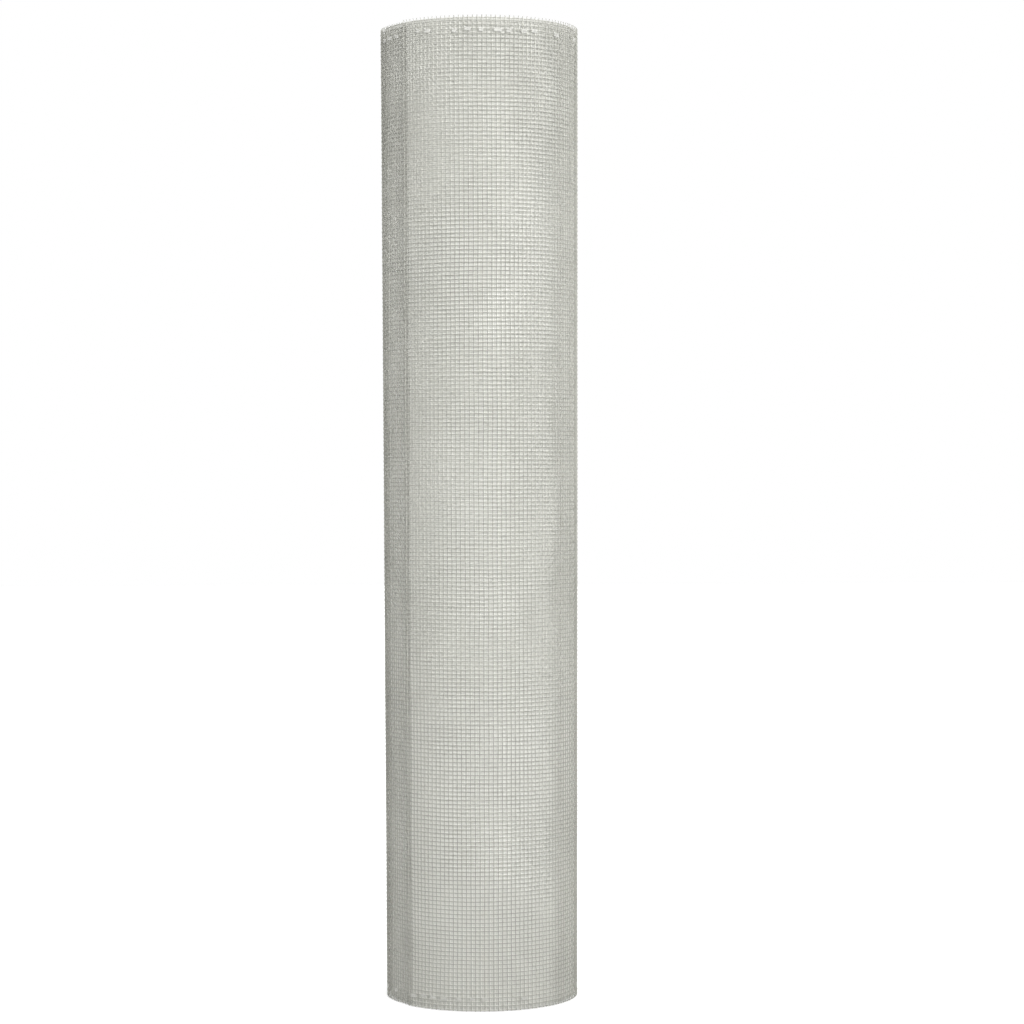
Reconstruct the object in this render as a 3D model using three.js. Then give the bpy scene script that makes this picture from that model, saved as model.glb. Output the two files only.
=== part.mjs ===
// A roll of woven aluminium wire mesh, standing upright on one end.
// Units are millimetres, +Z is up along the roll, and the origin is the centre of the lower end.
// The cloth is wound loosely round an open bore, a little tighter at the lower end than at the
// upper one, so the outside is a slight cone. The edge of every turn shows on both ends as a
// flat ring, and the air between two turns shows as a groove.

import * as THREE from "three";

// Driving dimensions
const clothWidth = 600; // width of the cloth, which is the height of the standing roll
const topDiameter = 122.6; // outside diameter at the upper end
const bottomDiameter = 119; // outside diameter at the lower end
const boreDiameter = 46; // open hollow inside the first turn
const turnCount = 19; // turns of cloth from the bore to the outside
const wireDiameter = 0.5; // drawn aluminium wire
const grooveDepth = 1.6; // how far the gap between two turns is sunk into an end
const facetsAround = 40; // flat facets in one turn of the round faces

// Warp and weft wires cross, so the cloth is two wires thick.
const clothThickness = 2 * wireDiameter;
const boreRadius = boreDiameter / 2;

// The outline of one end, from the bore outwards. Each turn is a flat ring at height z as wide as
// the cloth is thick, and between two rings the outline dips by grooveDepth towards the middle
// of the roll. inward is +1 on the lower end and -1 on the upper end.
function endOutline(outerRadius, z, inward) {
  const turnSpacing = (outerRadius - boreRadius - clothThickness) / (turnCount - 1);
  const points = [];
  for (let turn = 0; turn < turnCount; turn++) {
    const innerEdge = boreRadius + turn * turnSpacing;
    const outerEdge = innerEdge + clothThickness;
    points.push(new THREE.Vector2(innerEdge, z));
    points.push(new THREE.Vector2(outerEdge, z));
    if (turn < turnCount - 1) {
      const nextInnerEdge = innerEdge + turnSpacing;
      const middleOfGap = (outerEdge + nextInnerEdge) / 2;
      points.push(new THREE.Vector2(middleOfGap, z + inward * grooveDepth));
    }
  }
  return points;
}

// The section through one side of the roll: out along the lower end, up the outside, back in
// along the upper end, and down the bore to where it began.
function rollSection() {
  const lowerEnd = endOutline(bottomDiameter / 2, 0, 1);
  const upperEnd = endOutline(topDiameter / 2, clothWidth, -1);
  const outline = [...lowerEnd, ...upperEnd.reverse()];
  outline.push(outline[0].clone());
  return outline;
}

function aluminiumWireMesh() {
  return new THREE.MeshStandardMaterial({
    name: "aluminium_mesh",
    color: new THREE.Color(0.76, 0.765, 0.74),
    roughness: 0.45,
    metalness: 0.85,
  });
}

function meshRoll() {
  const geometry = new THREE.LatheGeometry(rollSection(), facetsAround);
  geometry.rotateX(Math.PI / 2); // a lathe turns about Y, and the roll stands along Z
  const roll = new THREE.Mesh(geometry, aluminiumWireMesh());
  roll.name = "mesh_roll";
  return roll;
}

const part = new THREE.Group();
part.add(meshRoll());

export default part;
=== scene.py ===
# %% [markdown]
# # A roll of woven aluminium mesh
#
# This lesson dresses a plain turned solid as a roll of wire cloth. The real thing is about five
# metres of plain-woven aluminium wire, wound loosely into 19 turns and stood on its end. What
# the eye reads is the grid of the outermost turn, the fainter grid of the turn behind it, the
# wavy bands that the two grids make together, and the row of tucked wire ends near each rim.
#
# All the wires that can be told apart are real geometry. What lies deeper is two thin sheets
# with a procedural material.

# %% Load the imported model
import math
import bpy
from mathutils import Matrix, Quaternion, Vector


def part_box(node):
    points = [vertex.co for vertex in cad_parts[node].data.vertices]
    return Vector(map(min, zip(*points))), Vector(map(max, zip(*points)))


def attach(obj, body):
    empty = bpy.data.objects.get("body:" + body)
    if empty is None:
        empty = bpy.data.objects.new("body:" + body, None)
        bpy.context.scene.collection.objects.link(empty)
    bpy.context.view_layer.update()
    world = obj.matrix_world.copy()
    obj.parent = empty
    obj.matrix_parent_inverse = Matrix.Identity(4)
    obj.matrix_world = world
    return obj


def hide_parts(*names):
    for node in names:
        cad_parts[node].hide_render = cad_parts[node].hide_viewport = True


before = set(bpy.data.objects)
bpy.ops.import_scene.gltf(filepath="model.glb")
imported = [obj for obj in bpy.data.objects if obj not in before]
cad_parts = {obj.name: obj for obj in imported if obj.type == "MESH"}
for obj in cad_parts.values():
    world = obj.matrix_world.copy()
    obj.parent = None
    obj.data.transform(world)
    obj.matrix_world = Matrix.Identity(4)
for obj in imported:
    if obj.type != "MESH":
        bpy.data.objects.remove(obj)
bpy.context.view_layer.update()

# %% [markdown]
# ## Sizes
#
# Every size of the roll stands here once, in metres, as it does in the turned solid. The mesh
# has ten wires to the inch up the roll and nine to the inch round it.

# %% Sizes of the roll
MM = 0.001
INCH = 25.4 * MM

roll_low, roll_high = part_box("mesh_roll")
CLOTH_WIDTH = roll_high.z - roll_low.z
TOP_RADIUS = roll_high.x
BOTTOM_RADIUS = 59.5 * MM
BORE_RADIUS = 23 * MM
TURNS = 19
WIRE_RADIUS = 0.25 * MM
CLOTH_THICKNESS = 4 * WIRE_RADIUS

ROW_PITCH = INCH / 10  # from one wire that runs round the roll to the next one up
COLUMN_PITCH = INCH / 9  # from one upright wire to the next one round

RIM_MARGIN = 0.75 * MM  # from the cut ends of the upright wires to the first round wire
ROWS = 1 + round((CLOTH_WIDTH - 2 * RIM_MARGIN) / ROW_PITCH)
ROW_HEIGHT = (CLOTH_WIDTH - 2 * RIM_MARGIN) / (ROWS - 1)
print("Rows:", ROWS, "each", round(ROW_HEIGHT / MM, 3), "mm above the last")

# %% [markdown]
# ## How far round a column lies
#
# The upright wires are equally far apart along the cloth, so a turn near the bore holds fewer of
# them than the outermost one. The length of cloth in so many turns is the length of a spiral.
# Solved the other way about, that gives the turn on which each column of wire lies.

# %% Columns and turns
MIDDLE_RADIUS = (BOTTOM_RADIUS + TOP_RADIUS) / 2 - CLOTH_THICKNESS / 2
TURN_SPACING = (MIDDLE_RADIUS - BORE_RADIUS - CLOTH_THICKNESS / 2) / (TURNS - 1)
SPIRAL_RADIUS = MIDDLE_RADIUS + TURN_SPACING / 2
INNER_END_TURN = TURNS - 0.13  # the inner free end stops just short of a whole turn


def column_at(turn):
    """The column that lies so many turns from the outer free end."""
    length = 2 * math.pi * (SPIRAL_RADIUS * turn - TURN_SPACING * turn * turn / 2)
    return length / COLUMN_PITCH


OUTER_COLUMNS = 2 * round(column_at(1) / 2)
SECOND_COLUMNS = 2 * round((column_at(2) - OUTER_COLUMNS) / 2)
ALL_COLUMNS = math.floor(column_at(INNER_END_TURN))
print("Columns in the two outer turns:", OUTER_COLUMNS, SECOND_COLUMNS, "and in all:", ALL_COLUMNS)
print("Cloth on the roll:", round(ALL_COLUMNS * COLUMN_PITCH, 2), "m")

# %% [markdown]
# ## Small helpers for node trees
#
# A node tree that is built in a script gets long, because each node is added, set and linked by
# hand. These helpers do that in one line each, so that the trees below read almost like sums.


# %% Helpers that add and link nodes
def feed(tree, socket, value):
    """Links value to a socket if it is another node's output, or else types it in."""
    if isinstance(value, bpy.types.NodeSocket):
        tree.links.new(value, socket)
    else:
        socket.default_value = value


def add_node(tree, kind, inputs=None, **settings):
    """Adds a node, sets it up and feeds the inputs, which go by name or by number."""
    node = tree.nodes.new(kind)
    for name, value in settings.items():
        setattr(node, name, value)
    for name, value in (inputs or {}).items():
        feed(tree, node.inputs[name], value)
    return node


def calc(tree, operation, *values):
    """One Math node, as a step of a sum."""
    inputs = dict(enumerate(values))
    return add_node(tree, "ShaderNodeMath", inputs, operation=operation).outputs[0]


def remap(tree, value, from_low, from_high, to_low, to_high, how="LINEAR"):
    """One Map Range node that holds the result between its two ends."""
    ends = {0: value, 1: from_low, 2: from_high, 3: to_low, 4: to_high}
    node = add_node(tree, "ShaderNodeMapRange", ends, interpolation_type=how, clamp=True)
    return node.outputs[0]


def vector(tree, x, y, z):
    """Joins three numbers into a vector."""
    return add_node(tree, "ShaderNodeCombineXYZ", {0: x, 1: y, 2: z}).outputs[0]


def parts_of(tree, place):
    """Takes a vector apart into its three numbers."""
    return add_node(tree, "ShaderNodeSeparateXYZ", {0: place}).outputs


NOISE_GAIN = 3.0  # the texture keeps near 0.5, and this spreads it out


def noise(tree, place, scale, detail=1.0):
    """Smooth noise at a place, roughly from -1 to 1."""
    texture = add_node(tree, "ShaderNodeTexNoise",
                       {"Vector": place, "Scale": scale, "Detail": detail})
    return calc(tree, "MULTIPLY_ADD", texture.outputs["Fac"], NOISE_GAIN, -NOISE_GAIN / 2)


def new_tree(name, inputs, result="Geometry"):
    """A node tree with named inputs, some with a usual value. It returns it and its two ends."""
    tree = bpy.data.node_groups.new(name, "GeometryNodeTree")
    for label, (kind, usual) in inputs.items():
        socket = tree.interface.new_socket(label, in_out="INPUT", socket_type="NodeSocket" + kind)
        if usual is not None:
            socket.default_value = usual
    tree.interface.new_socket(result, in_out="OUTPUT", socket_type="NodeSocket" + result)
    return tree, tree.nodes.new("NodeGroupInput"), tree.nodes.new("NodeGroupOutput")


# %% [markdown]
# ## The shape that every wire follows
#
# A wound cloth is flat cloth with a rule that says where each of its points ends up. So the rule
# is one node group, and every tree below uses it. It takes how many turns a point is from the
# free end, how high it is, and how far it lifts off the middle of the cloth.
#
# The free end lies at the front left. From there the cloth runs round at one radius, and just
# before it comes back to its start it dips by one turn's spacing and goes under. The outside is
# a slight cone, as on the photographed roll. Slow waves push the cloth a little inwards, up and
# down and sideways, because no hand-wound mesh lies quite straight.

# %% The rule for wound cloth
ROLL_SIZES = {
    "Cloth Width": ("Float", CLOTH_WIDTH),
    "Bottom Radius": ("Float", BOTTOM_RADIUS),
    "Top Radius": ("Float", TOP_RADIUS),
    "Bore Radius": ("Float", BORE_RADIUS),
    "Cloth Thickness": ("Float", CLOTH_THICKNESS),
    "Turns": ("Float", float(TURNS)),
    "Lap Angle": ("Float", math.radians(-49)),  # the free end, from the front to the right
    "Level Share": ("Float", 0.885),  # how far round a turn stays level before it dips
    "Wave Depth": ("Float", 0.09 * MM),  # slow waves, which only go inwards
    "Row Wander": ("Float", 0.34 * MM),  # round wires up and down
    "Column Wander": ("Float", 0.42 * MM),  # upright wires sideways
    "Row Unevenness": ("Float", 0.10 * MM),  # one row against the next
    "Column Unevenness": ("Float", 0.12 * MM),  # one column against the next
    "Uneven Rim": ("Float", 0.55 * MM),  # how much lower some turns end than others
    "Turn Drift": ("Float", 0.75 * MM),  # how far the rows of one turn slip against the next
}

# The scale of each noise. A larger number gives shorter waves.
SLOW_WAVES = 14.0
ROW_WAVES, COLUMN_WAVES = 26.0, 21.0
ONE_ROW_WAVES, ONE_COLUMN_WAVES = 19.0, 17.0
DRIFT_WAVES = 8.0

CLOTH_IN_A_TURN = 0.38  # metres of cloth in the outermost turn, which noise is read along
DRIFT_IN_A_TURN = 0.30  # a little less, so that the drift is slower round the roll
WIRE_TO_WIRE = 14.0  # single wires differ this much faster from wire to wire than along them
RIM_FADE = (1.0 * MM, 14 * MM)  # the wander grows from nothing between these depths
FLOOR_FADE = 20 * MM  # above this height a turn may end lower
RIM_SWING = 2.6  # how fast the height of the rim changes from turn to turn


def wound_cloth_rule():
    """Builds the group: turns from the free end, height and lift in, position out."""
    place = {"Turn": ("Float", None), "Height": ("Float", None), "Lift": ("Float", None)}
    tree, start, end = new_tree("Wound cloth", place | ROLL_SIZES, "Vector")
    given = start.outputs
    turn, height = given["Turn"], given["Height"]

    # Which turn this is, and how far the cloth has dipped under the turn before it.
    part_turn = calc(tree, "FRACT", turn)
    dip = remap(tree, part_turn, given["Level Share"], 1.0, 0.0, 1.0, "SMOOTHSTEP")
    turns_in = calc(tree, "ADD", calc(tree, "FLOOR", turn), dip)

    # The outside is a cone and the bore is straight, so the turns lie closer at the bottom.
    outside = remap(tree, height, 0.0, given["Cloth Width"],
                    given["Bottom Radius"], given["Top Radius"])
    innermost = calc(tree, "ADD", given["Bore Radius"], given["Cloth Thickness"])
    wound = calc(tree, "SUBTRACT", outside, innermost)
    spacing = calc(tree, "DIVIDE", wound, calc(tree, "SUBTRACT", given["Turns"], 1.0))
    middle = calc(tree, "MULTIPLY_ADD", given["Cloth Thickness"], -0.5, outside)
    radius = calc(tree, "SUBTRACT", middle, calc(tree, "MULTIPLY", turns_in, spacing))

    # Slow waves, read where the cloth lies so that they meet at the back.
    angle = calc(tree, "MULTIPLY_ADD", turn, 2 * math.pi, given["Lap Angle"])
    spot = vector(tree, calc(tree, "MULTIPLY", calc(tree, "SINE", angle), radius),
                  calc(tree, "MULTIPLY", calc(tree, "COSINE", angle), radius), height)
    wave = calc(tree, "ADD", noise(tree, spot, SLOW_WAVES), 1.0)
    inwards = calc(tree, "MULTIPLY", calc(tree, "MAXIMUM", wave, 0.0), given["Wave Depth"])
    radius = calc(tree, "ADD", calc(tree, "SUBTRACT", radius, inwards), given["Lift"])

    # Wander of the wires inside the cloth. It fades out towards both rims, which lie level.
    from_top = calc(tree, "SUBTRACT", given["Cloth Width"], height)
    to_rim = calc(tree, "MINIMUM", height, from_top)
    away_from_rim = remap(tree, to_rim, *RIM_FADE, 0.0, 1.0, "SMOOTHSTEP")
    round_way = calc(tree, "MULTIPLY", turn, CLOTH_IN_A_TURN)
    rise = noise(tree, vector(tree, round_way, height, 0.0), ROW_WAVES, 2.0)
    sway = noise(tree, vector(tree, round_way, height, 3.7), COLUMN_WAVES, 2.0)
    rise = calc(tree, "MULTIPLY", rise, given["Row Wander"])
    sway = calc(tree, "MULTIPLY", sway, given["Column Wander"])

    # Single wires stray too: fast from one to the next, and slowly along their length. The
    # third number of each place only keeps the noises apart.
    fast_round = calc(tree, "MULTIPLY", round_way, WIRE_TO_WIRE)
    fast_up = calc(tree, "MULTIPLY", height, WIRE_TO_WIRE)
    row_noise = noise(tree, vector(tree, round_way, fast_up, 8.1), ONE_ROW_WAVES)
    column_noise = noise(tree, vector(tree, fast_round, height, 5.3), ONE_COLUMN_WAVES)
    rise = calc(tree, "MULTIPLY_ADD", row_noise, given["Row Unevenness"], rise)
    sway = calc(tree, "MULTIPLY_ADD", column_noise, given["Column Unevenness"], sway)
    slow_round = calc(tree, "MULTIPLY", turn, DRIFT_IN_A_TURN)
    drift = noise(tree, vector(tree, slow_round, height, 1.9), DRIFT_WAVES)
    rise = calc(tree, "MULTIPLY_ADD", drift, given["Turn Drift"], rise)
    rise = calc(tree, "MULTIPLY", rise, away_from_rim)

    # Some turns end a little lower than others at the top. All of them stand on the floor.
    off_floor = remap(tree, height, 0.0, FLOOR_FADE, 0.0, 1.0, "SMOOTHSTEP")
    swing = calc(tree, "COSINE", calc(tree, "MULTIPLY", turn, RIM_SWING))
    lower = calc(tree, "MULTIPLY", calc(tree, "MULTIPLY_ADD", swing, -0.5, 0.5), off_floor)
    height = calc(tree, "ADD", height, rise)
    height = calc(tree, "SUBTRACT", height, calc(tree, "MULTIPLY", lower, given["Uneven Rim"]))
    angle = calc(tree, "ADD", angle, calc(tree, "DIVIDE", sway, radius))

    x = calc(tree, "MULTIPLY", calc(tree, "SINE", angle), radius)
    forwards = calc(tree, "MULTIPLY", calc(tree, "COSINE", angle), radius)
    feed(tree, end.inputs[0], vector(tree, x, calc(tree, "MULTIPLY", forwards, -1.0), height))
    return tree


WOUND_CLOTH = wound_cloth_rule()


def on_the_roll(tree, turn, height, lift):
    """Uses the rule in another tree and returns the position."""
    inputs = {"Turn": turn, "Height": height, "Lift": lift}
    return add_node(tree, "GeometryNodeGroup", inputs, node_tree=WOUND_CLOTH).outputs[0]


print("Nodes in the rule for wound cloth:", len(WOUND_CLOTH.nodes))

# %% [markdown]
# ## From rows and columns to the roll
#
# The wires are counted, not measured, so this second group turns a column and a row into turns
# and height. With it a tree can think in cells of the mesh.

# %% Rows and columns on the roll
CELL_SIZES = {
    "Column Pitch": ("Float", COLUMN_PITCH),
    "Row Height": ("Float", ROW_HEIGHT),
    "Rim Margin": ("Float", RIM_MARGIN),
    "Spiral Radius": ("Float", SPIRAL_RADIUS),
    "Turn Spacing": ("Float", TURN_SPACING),
}
CUT_END = 0.17 * MM  # a slanting cut end needs this much room inside the cloth's width


def cell_rule():
    """Builds the group: column, row and lift in, position out."""
    place = {"Column": ("Float", None), "Row": ("Float", None), "Lift": ("Float", None)}
    tree, start, end = new_tree("Cell on the roll", place | CELL_SIZES, "Vector")
    given = start.outputs
    length = calc(tree, "MULTIPLY", given["Column"], given["Column Pitch"])
    used = calc(tree, "MULTIPLY", length, calc(tree, "DIVIDE", given["Turn Spacing"], math.pi))
    squared = calc(tree, "MULTIPLY", given["Spiral Radius"], given["Spiral Radius"])
    left = calc(tree, "SQRT", calc(tree, "SUBTRACT", squared, used))
    wound_in = calc(tree, "SUBTRACT", given["Spiral Radius"], left)
    turn = calc(tree, "DIVIDE", wound_in, given["Turn Spacing"])
    height = calc(tree, "MULTIPLY_ADD", given["Row"], given["Row Height"], given["Rim Margin"])
    height = calc(tree, "MINIMUM", calc(tree, "MAXIMUM", height, CUT_END), CLOTH_WIDTH - CUT_END)
    feed(tree, end.inputs[0], on_the_roll(tree, turn, height, given["Lift"]))
    return tree


CELL_ON_THE_ROLL = cell_rule()


def at_cell(tree, column, row, lift):
    """Uses the cell rule in another tree and returns the position."""
    inputs = {"Column": column, "Row": row, "Lift": lift}
    return add_node(tree, "GeometryNodeGroup", inputs, node_tree=CELL_ON_THE_ROLL).outputs[0]


print("Nodes in the cell rule:", len(CELL_ON_THE_ROLL.nodes))

# %% [markdown]
# ## Sweeping a wire
#
# A thin tube with three or four sides, shaded smooth, looks like round wire and stays light
# enough to repeat by the hundred. Each tube also gets a flat map for baking: its length runs
# across the map, and every wire has a narrow strip of its own.

# %% The tube that is swept along each line
STRIP_GAP = 0.1  # the share of its strip that a wire leaves free on each side


def keep(tree, geometry, name, value, kind="FLOAT", where="POINT"):
    """Stores a value on the geometry under a name."""
    inputs = {"Geometry": geometry, "Name": name, "Value": value}
    node = add_node(tree, "GeometryNodeStoreNamedAttribute", inputs, data_type=kind, domain=where)
    return node.outputs[0]


def kept(tree, name, kind="FLOAT"):
    """Reads a stored value back."""
    node = add_node(tree, "GeometryNodeInputNamedAttribute", {"Name": name}, data_type=kind)
    return node.outputs[0]


def drop(tree, geometry, *names):
    """Takes stored values off again once they have been used."""
    for name in names:
        inputs = {"Geometry": geometry, "Name": name}
        geometry = add_node(tree, "GeometryNodeRemoveAttribute", inputs).outputs[0]
    return geometry


def sweep(tree, lines, along, strip, strips, sides, thickness, material):
    """Tubes along lines: along runs from 0 to 1 and strip counts the wires."""
    lines = keep(tree, keep(tree, lines, "along", along), "strip", strip)
    ring = add_node(tree, "GeometryNodeCurvePrimitiveCircle",
                    {"Resolution": sides, "Radius": thickness}).outputs[0]
    index = add_node(tree, "GeometryNodeInputIndex").outputs[0]
    about = calc(tree, "DIVIDE", calc(tree, "MULTIPLY", index, 2.0), sides)
    ring = keep(tree, ring, "about", calc(tree, "PINGPONG", about, 1.0))
    tube = add_node(tree, "GeometryNodeCurveToMesh",
                    {"Curve": lines, "Profile Curve": ring, "Fill Caps": True}).outputs[0]
    inside = calc(tree, "MULTIPLY_ADD", kept(tree, "about"), 1.0 - 2 * STRIP_GAP, STRIP_GAP)
    strip_place = calc(tree, "DIVIDE", calc(tree, "ADD", kept(tree, "strip"), inside), strips)
    flat = vector(tree, kept(tree, "along"), strip_place, 0.0)
    tube = keep(tree, tube, "OFBake", flat, "FLOAT2", "CORNER")
    return finish_tree(tree, drop(tree, tube, "along", "strip", "about"), material)


def finish_tree(tree, geometry, material):
    """The last nodes of every tree: smooth shading, real geometry and a material."""
    smooth = add_node(tree, "GeometryNodeSetShadeSmooth", {"Geometry": geometry}).outputs[0]
    real = add_node(tree, "GeometryNodeRealizeInstances", {"Geometry": smooth}).outputs[0]
    painted = add_node(tree, "GeometryNodeSetMaterial", {"Geometry": real, "Material": material})
    return painted.outputs[0]


# %% [markdown]
# ## Weaving the wires
#
# In plain weave each wire passes over one crossing wire and under the next. A grid of points does
# it: one point for each crossing, lifted outwards or inwards in turn like the squares of a
# chessboard. Joined along the rows, the points make the wires that run round. Joined
# along the columns they make the upright ones, with the lift the other way about.
#
# One tree serves both directions. It lays out straight lines of points, counts along and across
# them, and places each point by the rule above.

# %% The weaving tree
SHORTEST_TAIL = 0.6  # the shortest tail past the last crossing, as a share of the longest
TAIL_SEED = 5


def pick_number(tree, switch, if_off, if_on):
    """One of two numbers, by a switch."""
    choices = {0: switch, 1: if_off, 2: if_on}
    return add_node(tree, "GeometryNodeSwitch", choices, input_type="FLOAT").outputs[0]


def weaving_tree():
    """Lines of points on the roll, swept with a thin tube: woven wire in either direction."""
    tree, start, end = new_tree("Woven wires", {
        "Upright": ("Bool", False),
        "First Wire": ("Int", None),
        "Wires": ("Int", None),
        "First Crossing": ("Int", None),
        "Crossings": ("Int", None),
        "Crossing Step": ("Int", 1),
        "Start Tail": ("Float", 0.0),
        "End Tail": ("Float", 0.0),
        "Crimp": ("Float", WIRE_RADIUS),
        "Wire Radius": ("Float", WIRE_RADIUS),
        "Sides": ("Int", 4),
        "Wire Material": ("Material", None),
    })
    given = start.outputs

    # One line of points for each wire. X counts crossings along it and Y counts the wires.
    line = add_node(tree, "GeometryNodeMeshLine",
                    {"Count": given["Crossings"], "Offset": (1.0, 0.0, 0.0)})
    wire = add_node(tree, "GeometryNodeMeshToCurve", {"Mesh": line.outputs[0]})
    across = add_node(tree, "GeometryNodeMeshLine",
                      {"Count": given["Wires"], "Offset": (0.0, 1.0, 0.0)})
    copies = add_node(tree, "GeometryNodeInstanceOnPoints",
                      {"Points": across.outputs[0], "Instance": wire.outputs[0]})
    wires = add_node(tree, "GeometryNodeRealizeInstances", {"Geometry": copies.outputs[0]})
    grid_place = add_node(tree, "GeometryNodeInputPosition").outputs[0]
    point, strip = parts_of(tree, grid_place)[:2]

    # The numbers of this wire and this crossing in the whole cloth.
    passed = calc(tree, "MULTIPLY", point, given["Crossing Step"])
    crossing = calc(tree, "ADD", passed, given["First Crossing"])
    wire_number = calc(tree, "ADD", strip, given["First Wire"])

    # A wire that ends here sticks out past its last crossing by a slightly uneven tail.
    last_point = calc(tree, "SUBTRACT", given["Crossings"], 1.0)
    cut = add_node(tree, "FunctionNodeRandomValue",
                   {"ID": wire_number, "Seed": TAIL_SEED, 2: SHORTEST_TAIL, 3: 1.0})
    moved = crossing
    both_ends = ((given["Start Tail"], 0.0, 1.0), (given["End Tail"], last_point, -1.0))
    for tail, end_point, inward in both_ends:
        here = calc(tree, "COMPARE", point, end_point, 0.5)
        has_tail = calc(tree, "GREATER_THAN", tail, 0.0)
        pull = calc(tree, "SUBTRACT", 1.0, calc(tree, "MULTIPLY", tail, cut.outputs[1]))
        pull = calc(tree, "MULTIPLY", calc(tree, "MULTIPLY", pull, here), has_tail)
        moved = calc(tree, "MULTIPLY_ADD", pull, inward, moved)

    # Over and under, as on a chessboard, and the other way about for the upright wires.
    odd = calc(tree, "FLOORED_MODULO", calc(tree, "ADD", crossing, wire_number), 2.0)
    side = calc(tree, "MULTIPLY_ADD", odd, 2.0, -1.0)
    flip = calc(tree, "MULTIPLY_ADD", given["Upright"], -2.0, 1.0)
    lift = calc(tree, "MULTIPLY", calc(tree, "MULTIPLY", side, flip), given["Crimp"])
    column = pick_number(tree, given["Upright"], moved, wire_number)
    row = pick_number(tree, given["Upright"], wire_number, moved)

    # The counts come from where the points lie, so they are stored before the points move.
    share = calc(tree, "DIVIDE", point, last_point)
    place = keep(tree, wires.outputs[0], "place", at_cell(tree, column, row, lift), "FLOAT_VECTOR")
    lines = keep(tree, keep(tree, place, "share", share), "count", strip)
    on_roll = kept(tree, "place", "FLOAT_VECTOR")
    lines = add_node(tree, "GeometryNodeSetPosition",
                     {"Geometry": lines, "Position": on_roll}).outputs[0]
    tubes = sweep(tree, lines, kept(tree, "share"), kept(tree, "count"), given["Wires"],
                  given["Sides"], given["Wire Radius"], given["Wire Material"])
    feed(tree, end.inputs[0], drop(tree, tubes, "place", "share", "count"))
    return tree


WOVEN_WIRES = weaving_tree()
print("Nodes in the weaving tree:", len(WOVEN_WIRES.nodes))

# %% [markdown]
# ## Materials
#
# Drawn aluminium wire is grey and satin, with duller and brighter stretches. The cloth deeper in
# the roll reads as one light tone, because light is passed to and fro between its wires. So the
# outer wires are given a darker grey than the sheet that stands for the turns inside, which
# gives the light openings and the thin darker lines of the photograph. That darker grey is painted
# shade, and the sheet's pale tone is painted light for the light passed between the turns.
#
# Both finishes share one node group. It gives slow patches of duller metal, as handling and air
# leave them, and the fine grain of drawing.

# %% Helpers for materials
NOISE_LOW, NOISE_HIGH = 0.33, 0.67  # the texture seldom goes past these


def rgb(red, green, blue):
    """A colour that is fully opaque."""
    return (red, green, blue, 1.0)


def new_material(name):
    """An empty node material with a Principled shader. It returns all three parts."""
    material = bpy.data.materials.new(name)
    material.use_nodes = True
    tree = material.node_tree
    tree.nodes.clear()
    output = tree.nodes.new("ShaderNodeOutputMaterial")
    shader = tree.nodes.new("ShaderNodeBsdfPrincipled")
    tree.links.new(shader.outputs[0], output.inputs["Surface"])
    return material, tree, shader


def mix_colours(tree, share, first, second):
    """Blends two colours."""
    inputs = {0: share, 6: first, 7: second}
    return add_node(tree, "ShaderNodeMix", inputs, data_type="RGBA").outputs[2]


def uneven_metal_group():
    """A shader node group: slow patches of duller metal, and fine grain."""
    tree = bpy.data.node_groups.new("Uneven metal", "ShaderNodeTree")
    for label in ("Patch Scale", "Grain Scale"):
        tree.interface.new_socket(label, in_out="INPUT", socket_type="NodeSocketFloat")
    for label in ("Dullness", "Grain"):
        tree.interface.new_socket(label, in_out="OUTPUT", socket_type="NodeSocketFloat")
    start, end = tree.nodes.new("NodeGroupInput"), tree.nodes.new("NodeGroupOutput")
    place = add_node(tree, "ShaderNodeTexCoord").outputs["Object"]
    patches = add_node(tree, "ShaderNodeTexNoise",
                       {"Vector": place, "Scale": start.outputs["Patch Scale"], "Detail": 3.0})
    grain = add_node(tree, "ShaderNodeTexNoise",
                     {"Vector": place, "Scale": start.outputs["Grain Scale"], "Detail": 2.0})
    for label, texture in (("Dullness", patches), ("Grain", grain)):
        spread = remap(tree, texture.outputs["Fac"], NOISE_LOW, NOISE_HIGH, 0.0, 1.0,
                       "SMOOTHSTEP")
        feed(tree, end.inputs[label], spread)
    return tree


UNEVEN_METAL = uneven_metal_group()


def uneven_metal(tree, patch_scale, grain_scale):
    """Places the group in a material and returns its dullness and grain."""
    scales = {"Patch Scale": patch_scale, "Grain Scale": grain_scale}
    group = add_node(tree, "ShaderNodeGroup", scales, node_tree=UNEVEN_METAL)
    return group.outputs["Dullness"], group.outputs["Grain"]


# %% [markdown]
# ## Wire
#
# Wire of one kind looks different from place to place, and its five finishes are lit and shaded
# copies of one aluminium, with painted light and shade in their tones. Outside it stands against
# the light cloth and reads as thin grey lines; that darker grey is painted shade. Further in it is
# lit by its neighbours, so it is painted paler, as painted light, and it is less metallic. The
# tucked ends stand proud and catch the light, more at the top than at the bottom, so their lighter
# tones are a painted highlight, strong at the top and weak at the bottom. Each finish has a clean
# and a dull tone, a smoothest and a roughest sheen, and a share of metal. The share is low,
# because strongly metallic wire only mirrors the bright room here, and the grid fades where it
# does.

# %% Wire
WIRE_PATCHES, WIRE_GRAIN = 22.0, 420.0  # noise scales
PATCH_SHARE, GRAIN_SHARE = 0.4, 0.6  # how much each adds to the dullness
WIRE_BUMP = {"Strength": 0.15, "Distance": 0.05 * MM}


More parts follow.
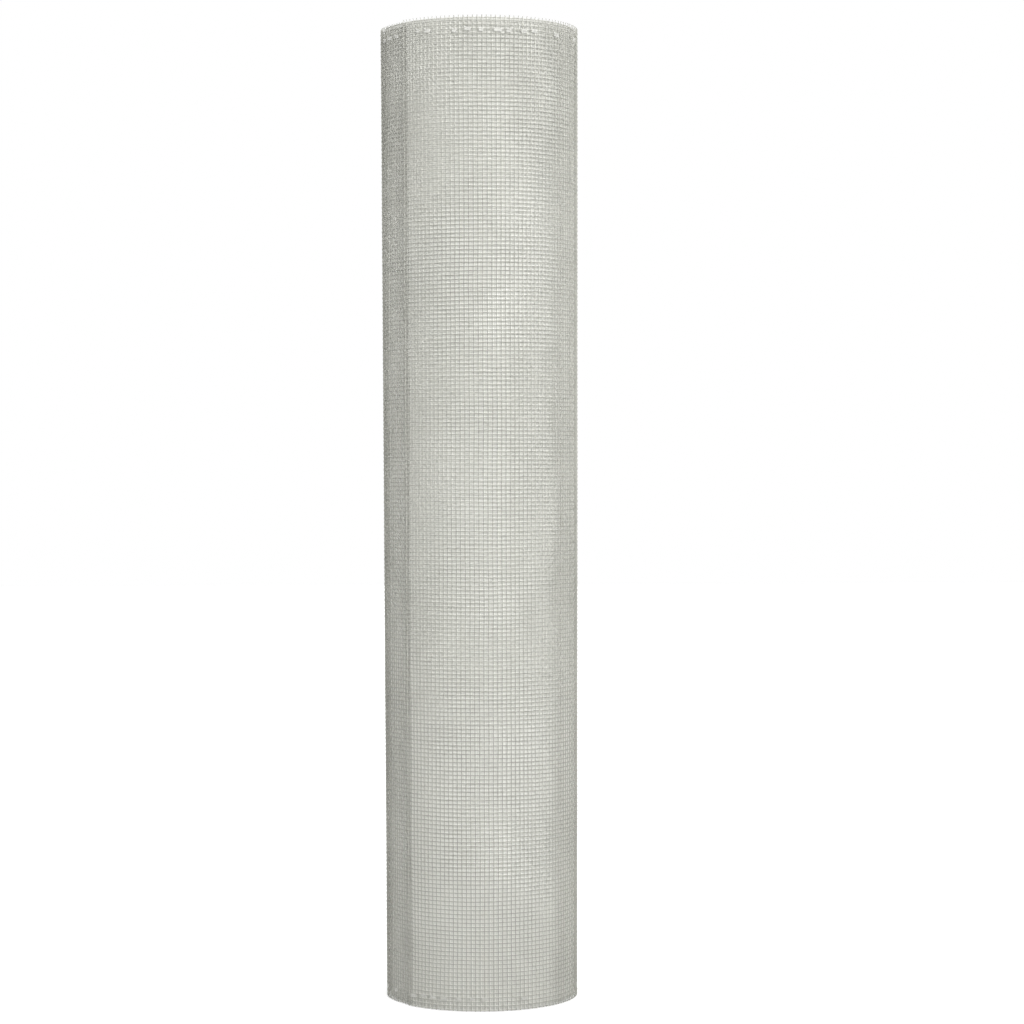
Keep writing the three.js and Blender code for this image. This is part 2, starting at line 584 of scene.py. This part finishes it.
def wire_material(name, clean, dull, smoothest, roughest, metallic):
    """Drawn aluminium wire with uneven brightness and sheen."""
    material, tree, shader = new_material(name)
    dullness, grain = uneven_metal(tree, WIRE_PATCHES, WIRE_GRAIN)
    share = calc(tree, "ADD", calc(tree, "MULTIPLY", dullness, PATCH_SHARE),
                 calc(tree, "MULTIPLY", grain, GRAIN_SHARE))
    feed(tree, shader.inputs["Base Color"], mix_colours(tree, share, clean, dull))
    feed(tree, shader.inputs["Roughness"], remap(tree, share, 0.0, 1.0, smoothest, roughest))
    bump = add_node(tree, "ShaderNodeBump", WIRE_BUMP | {"Height": grain})
    feed(tree, shader.inputs["Normal"], bump.outputs[0])
    shader.inputs["Metallic"].default_value = metallic
    return material


# Painted shade: the outer wire's darker grey.
OUTER_WIRE = wire_material("outer_wire", rgb(0.44, 0.44, 0.40), rgb(0.35, 0.35, 0.315),
                           0.40, 0.60, 0.35)
# Painted light: wire at the ends and the bore is paler, as if lit by its neighbours.
INNER_WIRE = wire_material("inner_wire", rgb(0.72, 0.72, 0.675), rgb(0.64, 0.64, 0.595),
                           0.5, 0.65, 0.1)
# Painted light: the second turn's wire is paler still, close to the lit cloth behind it.
SECOND_WIRE = wire_material("second_turn_wire", rgb(0.765, 0.765, 0.72), rgb(0.695, 0.695, 0.65),
                            0.5, 0.65, 0.0)
# Painted highlight, weak: the tone of the tucked ends at the bottom.
WEAK_HIGHLIGHT_WIRE = wire_material("weak_highlight_wire", rgb(0.54, 0.54, 0.51), rgb(0.46, 0.46, 0.43),
                          0.5, 0.65, 0.2)
# Painted highlight, strong: the tone of the tucked ends at the top.
STRONG_HIGHLIGHT_WIRE = wire_material("strong_highlight_wire", rgb(0.65, 0.65, 0.62), rgb(0.57, 0.57, 0.54),
                            0.5, 0.65, 0.2)
print("Materials so far:", [m.name for m in bpy.data.materials])

# %% [markdown]
# ## Inner cloth
#
# The sheets behind the wires stand for many turns seen through each other. They are one pale
# tone with the grid of one turn drawn into it and pressed into it as bump. Towards both rims the
# tone is duller, because there light gets out between the turns instead of being passed on.

# %% Inner cloth
CLOTH_PATCHES, CLOTH_GRAIN = 9.0, 300.0  # noise scales
LINE_CORE, LINE_EDGE = 0.07, 0.16  # a drawn line is full up to here and gone from there, in cells
LINE_SHARE = 0.35  # how dark the drawn lines are
SHADED_CLOTH = rgb(0.5, 0.5, 0.47)
# Painted shade towards both rims: these rows mix in the shaded cloth colour.
RIM_LEAKS = ((45.0, 0.35), (4.0, 0.8))  # duller near a rim: over how many rows, and how much
CLOTH_BUMP = {"Strength": 0.4, "Distance": 0.3 * MM}


def grid_lines(tree, coordinate):
    """A mask that is 1 on whole numbers and 0 between them."""
    off_line = calc(tree, "PINGPONG", coordinate, 0.5)
    return remap(tree, off_line, LINE_CORE, LINE_EDGE, 1.0, 0.0, "SMOOTHSTEP")


def cloth_material(name, clean, dull):
    """The light tone of the turns further in, with the grid of one of them."""
    material, tree, shader = new_material(name)
    dullness, grain = uneven_metal(tree, CLOTH_PATCHES, CLOTH_GRAIN)
    cell_map = add_node(tree, "ShaderNodeUVMap", uv_map="Cells").outputs[0]
    column, row = parts_of(tree, cell_map)[:2]
    mesh = calc(tree, "MAXIMUM", grid_lines(tree, column), grid_lines(tree, row))
    plain = mix_colours(tree, dullness, clean, dull)
    from_rim = calc(tree, "MINIMUM", row, calc(tree, "SUBTRACT", float(ROWS), row))
    share = calc(tree, "MULTIPLY", mesh, LINE_SHARE)
    # Painted shade: towards both rims the colour turns to the shaded cloth.
    for rows, most in RIM_LEAKS:
        leak = remap(tree, from_rim, 0.0, rows, most, 0.0, "SMOOTHSTEP")
        share = calc(tree, "MAXIMUM", share, leak)
    feed(tree, shader.inputs["Base Color"], mix_colours(tree, share, plain, SHADED_CLOTH))
    feed(tree, shader.inputs["Roughness"], remap(tree, grain, 0.0, 1.0, 0.5, 0.7))
    relief = calc(tree, "MULTIPLY_ADD", grain, 0.1, mesh)
    bump = add_node(tree, "ShaderNodeBump", CLOTH_BUMP | {"Height": relief})
    feed(tree, shader.inputs["Normal"], bump.outputs[0])
    shader.inputs["Metallic"].default_value = 0.1
    return material


# Painted light: the pale tone of the inner cloth stands in for light passed between many turns.
INNER_CLOTH = cloth_material("inner_cloth", rgb(0.72, 0.72, 0.69), rgb(0.67, 0.67, 0.635))
# Painted shade: the deep cloth is a darker copy, for the turns further in that get less light.
DEEP_CLOTH = cloth_material("deep_cloth", rgb(0.62, 0.62, 0.59), rgb(0.53, 0.53, 0.50))
print("Cloth finishes:", INNER_CLOTH.name, "and", DEEP_CLOTH.name)

# %% [markdown]
# ## Turning a tree into a piece
#
# Each piece starts as an empty object with the tree as its modifier. Its inputs are
# set by their identifiers, Blender works the tree out once, and the result is kept as a plain
# mesh, so that nothing is left to be worked out later.

# %% Make a piece from a tree
PIECES = []


def triangles(piece):
    """Counts a piece's faces as triangles."""
    return sum(len(face.vertices) - 2 for face in piece.data.polygons)


def piece_from_tree(name, tree, values):
    """A finished mesh object from a tree and the values of its named inputs."""
    holder = bpy.data.objects.new(name + "_tree", bpy.data.meshes.new(name + "_start"))
    bpy.context.scene.collection.objects.link(holder)
    modifier = holder.modifiers.new("Shape", "NODES")
    modifier.node_group = tree
    for item in tree.interface.items_tree:
        if item.item_type == "SOCKET" and item.in_out == "INPUT" and item.name in values:
            modifier[item.identifier] = values[item.name]
    ready = holder.evaluated_get(bpy.context.evaluated_depsgraph_get())
    mesh = bpy.data.meshes.new_from_object(ready)
    mesh.name = name
    piece = bpy.data.objects.new(name, mesh)
    bpy.context.scene.collection.objects.link(piece)
    bpy.data.objects.remove(holder)
    PIECES.append(piece)
    print(f"{name}: {triangles(piece)} triangles")
    return piece


# %% [markdown]
# ## The outermost turn
#
# This is what the photograph shows, so it has every wire and every crossing. The wires are
# split into a lower and an upper half, and into round and upright ones, which keeps each piece
# light enough.

# %% Weave the outermost turn
RIM_TAIL = RIM_MARGIN / ROW_HEIGHT  # upright wires end level with the rim
FREE_TAIL = 0.35  # round wires stick out past the last column by about a third of a cell


def weave(name, first_wire, wires, first_crossing, crossings, **more):
    """A piece of woven wire. In more, a name like start_tail sets the input Start Tail."""
    values = {
        "First Wire": first_wire,
        "Wires": wires,
        "First Crossing": first_crossing,
        "Crossings": crossings,
        "Wire Material": OUTER_WIRE,
    }
    values |= {key.replace("_", " ").title(): value for key, value in more.items()}
    return piece_from_tree(name, WOVEN_WIRES, values)


HALF_ROWS = ROWS // 2
HALF_COLUMNS = OUTER_COLUMNS // 2

for label, first in (("lower", 0), ("upper", HALF_ROWS)):
    weave(f"outer_turn_round_wires_{label}", first, HALF_ROWS, -1, OUTER_COLUMNS + 2,
          start_tail=FREE_TAIL)
for label, first in (("front", 0), ("back", HALF_COLUMNS)):
    weave(f"outer_turn_upright_wires_{label}", first, HALF_COLUMNS, -1, ROWS + 2,
          upright=True, start_tail=RIM_TAIL, end_tail=RIM_TAIL)

# %% [markdown]
# ## The turn behind it
#
# Through the openings of the outermost turn the next one shows. Its wires seldom lie
# straight behind the first ones, so the eye sees bands where the grids agree and where they
# do not. Real wires at their real depth give those bands from every side. At this depth the
# crimp no longer shows, so these wires run straight past each other.

# %% Weave the second turn
ROUND_STEP = 2  # a point on every second column is enough for the curve
UPRIGHT_STEP = 5

weave("second_turn_round_wires", 0, ROWS, OUTER_COLUMNS, SECOND_COLUMNS // ROUND_STEP + 1,
      crossing_step=ROUND_STEP, crimp=0.0, sides=3, wire_material=SECOND_WIRE)
weave("second_turn_upright_wires", OUTER_COLUMNS, SECOND_COLUMNS, 0, ROWS // UPRIGHT_STEP + 1,
      upright=True, crossing_step=UPRIGHT_STEP, crimp=0.0, sides=3, wire_material=SECOND_WIRE)

# %% [markdown]
# ## The ends of the other turns
#
# From above, each turn shows as a ring of wire edge with air on both sides. So all the turns
# further in have real wires in their first few rows at both ends, in one long spiral, and
# the innermost turn has them further down, because it lines the bore.

# %% Weave the ends
END_ROWS = 5
BORE_ROWS = 24
third_turn = OUTER_COLUMNS + SECOND_COLUMNS
bore_column = math.floor(column_at(INNER_END_TURN - 1))


def weave_end(label, columns_from, columns_to, rows, top):
    """Both kinds of wire in a strip along one rim."""
    columns = columns_to - columns_from
    first_row = ROWS - rows if top else 0
    tails = {"end_tail": RIM_TAIL} if top else {"start_tail": RIM_TAIL}
    weave(f"{label}_round_wires", first_row, rows, columns_from, columns + 1, sides=3,
          wire_material=INNER_WIRE)
    weave(f"{label}_upright_wires", columns_from, columns, first_row - (not top), rows + 1,
          upright=True, sides=3, wire_material=INNER_WIRE, **tails)


for label, top in (("bottom", False), ("top", True)):
    weave_end(f"{label}_end", third_turn, bore_column, END_ROWS, top)
    weave_end(f"{label}_bore", bore_column, ALL_COLUMNS, BORE_ROWS, top)

# %% [markdown]
# ## The cloth further in
#
# Deeper than that no single wire can be told from the others, so sheets stand for the rest. A
# sheet follows the same rule as the wires. Its own map counts columns and rows, so that its
# material can draw the cells.


# %% The sheet tree
def sheet_tree():
    """A grid of points in turns and height, placed by the rule for wound cloth."""
    tree, start, end = new_tree("Inner cloth", {
        "First Turn": ("Float", None),
        "Turns": ("Float", None),
        "Points Round": ("Int", None),
        "Points Up": ("Int", None),
        "Low": ("Float", None),
        "High": ("Float", None),
        "Lift": ("Float", 0.0),
        "Columns In A Turn": ("Float", None),
        "Sheet Material": ("Material", None),
    })
    given = start.outputs
    grid = add_node(tree, "GeometryNodeMeshGrid", {
        "Size X": 1.0,
        "Size Y": 1.0,
        "Vertices X": given["Points Round"],
        "Vertices Y": given["Points Up"],
    })
    grid_place = add_node(tree, "GeometryNodeInputPosition").outputs[0]
    across, up = parts_of(tree, grid_place)[:2]
    share_round, share_up = calc(tree, "ADD", across, 0.5), calc(tree, "ADD", up, 0.5)
    turn = calc(tree, "MULTIPLY_ADD", share_round, given["Turns"], given["First Turn"])
    height = remap(tree, share_up, 0.0, 1.0, given["Low"], given["High"])
    cells = vector(tree, calc(tree, "MULTIPLY", turn, given["Columns In A Turn"]),
                   calc(tree, "DIVIDE", height, ROW_HEIGHT), 0.0)
    mapped = keep(tree, grid.outputs[0], "Cells", cells, "FLOAT2", "CORNER")
    placed = add_node(tree, "GeometryNodeSetPosition", {
        "Geometry": mapped,
        "Position": on_the_roll(tree, turn, height, given["Lift"]),
    }).outputs[0]
    feed(tree, end.inputs[0], finish_tree(tree, placed, given["Sheet Material"]))
    return tree


INNER_SHEET = sheet_tree()
print("Nodes in the sheet tree:", len(INNER_SHEET.nodes))

# %% [markdown]
# ## Two sheets
#
# One turn of sheet closes the view right behind the wires of the second turn. A long spiral
# stands for all the turns further in, and stops short of the rims, where real wires show. Each
# gets a little thickness, so that it is a closed shape.

# %% Make the sheets
END_DEPTH = (END_ROWS - 0.5) * ROW_HEIGHT
BEHIND_WIRES = -0.8 * MM
BACKING_LOW, BACKING_HIGH = 0.6 * MM, CLOTH_WIDTH - 0.55 * MM
BACKING_THICKNESS, CORE_THICKNESS = 0.3 * MM, 0.4 * MM
MEAN_COLUMNS = 90.0  # in a turn halfway in


def give_thickness(piece, thickness):
    """Solidifies a sheet and keeps the result."""
    modifier = piece.modifiers.new("Thickness", "SOLIDIFY")
    modifier.thickness = thickness
    modifier.offset = 0.0
    ready = piece.evaluated_get(bpy.context.evaluated_depsgraph_get())
    solid = bpy.data.meshes.new_from_object(ready)
    piece.modifiers.clear()
    piece.data, thin = solid, piece.data
    bpy.data.meshes.remove(thin)
    solid.name = piece.name
    solid.set_sharp_from_angle(angle=math.radians(40))
    print(f"{piece.name} with thickness: {triangles(piece)} triangles")


backing = piece_from_tree("second_turn_backing", INNER_SHEET, {
    "First Turn": 1.0,
    "Turns": 1.0,
    "Points Round": 121,
    "Points Up": 41,
    "Low": BACKING_LOW,
    "High": BACKING_HIGH,
    "Lift": BEHIND_WIRES,
    "Columns In A Turn": SECOND_COLUMNS - 4.0,  # each turn in holds about four fewer
    "Sheet Material": INNER_CLOTH,
})
give_thickness(backing, BACKING_THICKNESS)

core = piece_from_tree("inner_turns", INNER_SHEET, {
    "First Turn": 2.0,
    "Turns": INNER_END_TURN - 2.0,
    "Points Round": 1000,
    "Points Up": 5,
    "Low": END_DEPTH,
    "High": CLOTH_WIDTH - END_DEPTH,
    "Columns In A Turn": MEAN_COLUMNS,
    "Sheet Material": DEEP_CLOTH,
})
give_thickness(core, CORE_THICKNESS)

# %% [markdown]
# ## The tucked ends
#
# On the loom the cut ends of the crosswise wires are bent over and tucked back into the cloth, so
# that the edge does not fray. About three rows in from each rim they show as a broken row of
# small bright marks, clear at the top and faint at the bottom. Their brightness is a painted
# highlight in the wire's tone, stronger at the top than at the bottom. One of them is a wire
# folded to and fro, drawn as a short bent line in cells of the mesh. It is copied to every third
# column, stretched and shifted at random, and some copies are left out.

# %% The hook tree
HOOK = (  # across in widths, and down in rows from the first round wire
    (0.0, 2.0), (0.0, 2.15), (0.08, 2.3), (0.92, 2.3), (1.0, 2.44), (0.92, 2.58),
    (0.08, 2.58), (0.0, 2.72), (0.08, 2.86), (1.0, 2.86),
)
HOOK_RADIUS = 0.33 * MM
HOOK_LIFT = 0.14 * MM
HOOK_SIDES = 6
SLOT_COLUMNS = 3.0  # from one hook to the next
NARROWEST, WIDEST = 0.8, 1.6  # in columns
SHORTEST, TALLEST = 0.94, 1.06  # against the drawn height
LEAST_SHIFT, MOST_SHIFT = (0.0, -0.12, 0.0), (0.9, 0.12, 0.0)  # in columns and rows


def hook_tree():
    """Bent wire hooks along one rim."""
    tree, start, end = new_tree("Tucked ends", {
        "At Top": ("Bool", None),
        "Slots": ("Int", None),
        "Columns In A Slot": ("Float", SLOT_COLUMNS),
        "Rows Down": ("Float", None),
        "Chance": ("Float", None),
        "Narrowest": ("Float", NARROWEST),
        "Widest": ("Float", WIDEST),
        "Lift": ("Float", HOOK_LIFT),
        "Wire Radius": ("Float", HOOK_RADIUS),
        "Seed": ("Int", None),
        "Wire Material": ("Material", None),
    })
    given = start.outputs
    corners = add_node(tree, "GeometryNodeMeshLine", {"Count": len(HOOK)})
    shape = add_node(tree, "GeometryNodeIndexSwitch", data_type="VECTOR")
    while len(shape.index_switch_items) < len(HOOK):
        shape.index_switch_items.new()
    feed(tree, shape.inputs[0], add_node(tree, "GeometryNodeInputIndex").outputs[0])
    for number, (across, down) in enumerate(HOOK):
        feed(tree, shape.inputs[number + 1], (across, down, 0.0))
    bent = add_node(tree, "GeometryNodeSetPosition",
                    {"Geometry": corners.outputs[0], "Position": shape.outputs[0]})
    hook = add_node(tree, "GeometryNodeMeshToCurve", {"Mesh": bent.outputs[0]})

    # One slot after another along the rim, some left empty, each hook with its own width.
    spaced = vector(tree, given["Columns In A Slot"], 0.0, 0.0)
    slots = add_node(tree, "GeometryNodeMeshLine", {"Count": given["Slots"], "Offset": spaced})
    chosen = add_node(tree, "FunctionNodeRandomValue",
                      {"Seed": given["Seed"], "Probability": given["Chance"]},
                      data_type="BOOLEAN")
    stretch = add_node(tree, "FunctionNodeRandomValue", {
        "Seed": calc(tree, "ADD", given["Seed"], 1.0),
        0: vector(tree, given["Narrowest"], SHORTEST, 1.0),
        1: vector(tree, given["Widest"], TALLEST, 1.0),
    }, data_type="FLOAT_VECTOR")
    shift = add_node(tree, "FunctionNodeRandomValue", {
        "Seed": calc(tree, "ADD", given["Seed"], 2.0),
        0: LEAST_SHIFT,
        1: MOST_SHIFT,
    }, data_type="FLOAT_VECTOR")
    jittered = add_node(tree, "GeometryNodeSetPosition",
                        {"Geometry": slots.outputs[0], "Offset": shift.outputs[0]})
    copies = add_node(tree, "GeometryNodeInstanceOnPoints", {
        "Points": jittered.outputs[0],
        "Selection": chosen.outputs[3],
        "Instance": hook.outputs[0],
        "Scale": stretch.outputs[0],
    })
    hooks = add_node(tree, "GeometryNodeRealizeInstances", {"Geometry": copies.outputs[0]})
    column, down = parts_of(tree, add_node(tree, "GeometryNodeInputPosition").outputs[0])[:2]
    from_rim = calc(tree, "ADD", down, given["Rows Down"])
    from_top = calc(tree, "SUBTRACT", ROWS - 1.0, from_rim)
    row = pick_number(tree, given["At Top"], from_rim, from_top)
    placed = add_node(tree, "GeometryNodeSetPosition", {
        "Geometry": hooks.outputs[0],
        "Position": at_cell(tree, column, row, given["Lift"]),
    }).outputs[0]
    share = add_node(tree, "GeometryNodeSplineParameter").outputs[0]
    index = add_node(tree, "GeometryNodeInputIndex").outputs[0]
    number = calc(tree, "FLOOR", calc(tree, "DIVIDE", index, float(len(HOOK))))
    tubes = sweep(tree, placed, share, number, given["Slots"], HOOK_SIDES,
                  given["Wire Radius"], given["Wire Material"])
    feed(tree, end.inputs[0], tubes)
    return tree


TUCKED_ENDS = hook_tree()

# The top hooks carry the strong painted highlight, the bottom ones the weak one.
for label, top, seed, rows_down, chance, wire in (
    ("top", True, 3, 0.5, 0.85, STRONG_HIGHLIGHT_WIRE),
    ("bottom", False, 11, 0.0, 0.45, WEAK_HIGHLIGHT_WIRE),
):
    piece_from_tree(f"{label}_tucked_ends", TUCKED_ENDS, {
        "At Top": top,
        "Slots": math.floor(OUTER_COLUMNS / SLOT_COLUMNS),
        "Rows Down": rows_down,
        "Chance": chance,
        "Seed": seed,
        "Wire Material": wire,
    })

# %% [markdown]
# ## Hand the pieces to the part
#
# Every piece rides on the part's one body and takes its finish from its own tree. The turned
# solid is hidden, and together the pieces stand for it.

# %% Ride and replace
for piece in PIECES:
    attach(piece, "root")
    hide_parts("mesh_roll")

print("Triangles in all:", sum(triangles(piece) for piece in PIECES))

# %% [markdown]
# ## Floor
#
# The photograph is of a plain roll on pure white, with no shadow that can be seen. So the floor
# is pale paper just under the roll. The camera sees it glow a little, which hides the shadow. To
# everything else it is a duller paper that sends little light back up.

# %% Floor
FLOOR_REACH = 6.0
FLOOR_HEIGHT = -0.2 * MM
PAPER, MOTTLED_PAPER = rgb(0.96, 0.96, 0.96), rgb(0.94, 0.94, 0.94)
DULL_PAPER = rgb(0.5, 0.5, 0.5)
PAPER_GLOW = 0.25


def floor_material():
    """Pale seamless paper with very faint unevenness."""
    material, tree, shader = new_material("pale_paper")
    place = add_node(tree, "ShaderNodeTexCoord").outputs["Object"]
    mottle = add_node(tree, "ShaderNodeTexNoise", {"Vector": place, "Scale": 3.0}).outputs["Fac"]
    seen = add_node(tree, "ShaderNodeLightPath").outputs["Is Camera Ray"]
    white = mix_colours(tree, mottle, PAPER, MOTTLED_PAPER)
    feed(tree, shader.inputs["Base Color"], mix_colours(tree, seen, DULL_PAPER, white))
    shader.inputs["Emission Color"].default_value = rgb(1.0, 1.0, 1.0)
    feed(tree, shader.inputs["Emission Strength"], calc(tree, "MULTIPLY", seen, PAPER_GLOW))
    shader.inputs["Roughness"].default_value = 0.9
    return material


floor_mesh = bpy.data.meshes.new("floor")
corners = [(x * FLOOR_REACH, y * FLOOR_REACH, FLOOR_HEIGHT)
           for x, y in ((-1, -1), (1, -1), (1, 1), (-1, 1))]
floor_mesh.from_pydata(corners, [], [(0, 1, 2, 3)])
floor_mesh.materials.append(floor_material())
floor = bpy.data.objects.new("floor", floor_mesh)
bpy.context.scene.collection.objects.link(floor)
print("Floor:", 2 * FLOOR_REACH, "m square, made of", floor_mesh.materials[0].name)

# %% [markdown]
# ## Light
#
# The photographed roll is brightest a little to the right of its middle. The tone falls off to
# both sides and towards the floor, and rises again at the far left edge. One large soft lamp in
# front on the right gives most of that, and a small one above the right side lights the rim.
# The room does the rest: it is dim around the camera, and brighter overhead, behind the roll and
# far to its left. The camera itself sees the room as pure white.

# %% Light of the room
DIM_SKY = 0.50  # where the camera stands
BRIGHTER_SIDES = (  # the axis, where on it the rise starts and ends, and how much it adds
    (2, 0.0, 0.9, 0.20),  # overhead
    (1, 0.0, 1.0, 0.90),  # behind the roll
    (0, -0.6, -1.0, 1.90),  # far to its left
)


def studio_sky():
    """A room that is plain white to the camera and brighter on some sides to the roll."""
    world = bpy.data.worlds.new("white_studio")
    world.use_nodes = True
    tree = world.node_tree
    tree.nodes.clear()
    direction = parts_of(tree, add_node(tree, "ShaderNodeTexCoord").outputs["Generated"])
    room = DIM_SKY
    for axis, rise_from, rise_to, rise in BRIGHTER_SIDES:
        more_light = remap(tree, direction[axis], rise_from, rise_to, 0.0, rise, "SMOOTHSTEP")
        room = calc(tree, "ADD", more_light, room)
    seen = add_node(tree, "ShaderNodeLightPath").outputs["Is Camera Ray"]
    not_seen = calc(tree, "SUBTRACT", 1.0, seen)
    strength = calc(tree, "ADD", calc(tree, "MULTIPLY", room, not_seen), seen)
    sky = add_node(tree, "ShaderNodeBackground",
                   {"Color": rgb(1.0, 1.0, 1.0), "Strength": strength})
    output = tree.nodes.new("ShaderNodeOutputWorld")
    tree.links.new(sky.outputs[0], output.inputs["Surface"])
    return world


bpy.context.scene.world = studio_sky()
print("World:", bpy.context.scene.world.name)


# %% Lamps
def soft_lamp(name, place, aim, size, power):
    """A square area lamp that points at a spot."""
    light = bpy.data.lights.new(name, "AREA")
    light.size = size
    light.energy = power
    lamp = bpy.data.objects.new(name, light)
    lamp.location = place
    beam = Vector(aim) - Vector(place)
    lamp.rotation_euler = beam.to_track_quat("-Z", "Y").to_euler()
    bpy.context.scene.collection.objects.link(lamp)
    print(f"{name}: {power} W, {size} m square, aimed over {beam.length:.2f} m")


soft_lamp("key_lamp", place=(0.58, -1.8, 0.75), aim=(0.0, 0.0, 0.35), size=1.0, power=41.5)
soft_lamp("rim_lamp", place=(0.55, 0.25, 0.95), aim=(0.0, 0.0, 0.55), size=0.4, power=1.5)

# %% [markdown]
# ## Camera
#
# The camera stands about three roll heights away, a little above the roll's mid-height. Its
# distance, height, focal length and lean are the ones that lay the outline of this roll over the
# photographed one.

# %% Camera
CAMERA_DISTANCE = 1.765
CAMERA_HEIGHT = 0.330
FRAME_PIXELS = 1024
FOCAL_PIXELS = 2836.0  # focal length in pixels of the square frame
SENSOR = 36.0  # mm
ROLL_X_PIXEL, ROLL_Y_PIXEL = 480.7, 513.0  # where the middle of the roll lies in the frame
LEAN_DEGREES = -0.18  # how far the frame is turned about its middle

camera_data = bpy.data.cameras.new("photo_camera")
camera_data.sensor_width = SENSOR
camera_data.lens = SENSOR * FOCAL_PIXELS / FRAME_PIXELS
camera_data.clip_start = 0.05
camera = bpy.data.objects.new("photo_camera", camera_data)
bpy.context.scene.collection.objects.link(camera)
camera.location = (0.0, -CAMERA_DISTANCE, CAMERA_HEIGHT)

half_frame = FRAME_PIXELS / 2
to_the_right = CAMERA_DISTANCE * (half_frame - ROLL_X_PIXEL) / FOCAL_PIXELS
upwards = CAMERA_DISTANCE * (ROLL_Y_PIXEL - half_frame) / FOCAL_PIXELS
aim = Vector((to_the_right, 0.0, CLOTH_WIDTH / 2 + upwards))
turned = (aim - camera.location).to_track_quat("-Z", "Y")
lean = Quaternion((0.0, 0.0, 1.0), math.radians(LEAN_DEGREES))
camera.rotation_euler = (turned @ lean).to_euler()
bpy.context.scene.camera = camera
bpy.context.scene.view_settings.view_transform = "Standard"
print("Lens:", round(camera_data.lens, 1), "mm on a", SENSOR, "mm sensor")
